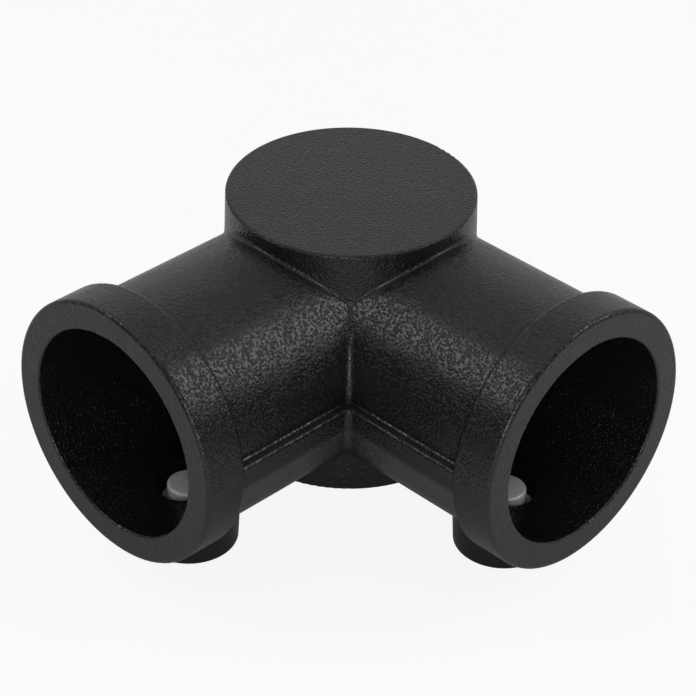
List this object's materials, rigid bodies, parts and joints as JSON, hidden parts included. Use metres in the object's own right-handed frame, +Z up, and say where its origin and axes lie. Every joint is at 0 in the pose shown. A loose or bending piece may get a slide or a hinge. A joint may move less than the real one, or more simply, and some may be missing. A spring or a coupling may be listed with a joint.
{
  "type": "tube clamp corner fitting",
  "caption": "Corner clamp fitting that joins round tubes at right angles: collared level sockets, an upright socket under a closed flat cap, and grub screws in threaded bosses.",
  "frame": {"origin": "the point where the axes of the two level sockets and the upright socket meet", "axes": "+X out of the right level socket, -Y out of the left level socket, +Z up along the upright socket's axis towards the flat cap, so the upright socket opens towards -Z"},
  "size_m": [0.1093, 0.1093, 0.0723],
  "materials": {
    "powder_coated_iron": "satin",
    "screw_steel": "satin"
  },
  "bodies": {
    "casting": {"casting": "powder_coated_iron"},
    "right_screw": {"right_grub_screw": "screw_steel"},
    "left_screw": {"left_grub_screw": "screw_steel"},
    "upright_screw": {"upright_grub_screw": "screw_steel"}
  },
  "joints": [
    {"name": "right_screw_drive", "type": "slide", "parent": "casting", "child": "right_screw", "axis": [0, 0, 1], "range_m": [-0.0008, 0.005]},
    {"name": "left_screw_drive", "type": "slide", "parent": "casting", "child": "left_screw", "axis": [0, 0, 1], "range_m": [-0.0008, 0.005]},
    {"name": "upright_screw_drive", "type": "slide", "parent": "casting", "child": "upright_screw", "axis": [0.7071, -0.7071, 0], "range_m": [-0.0008, 0.005]}
  ]
}
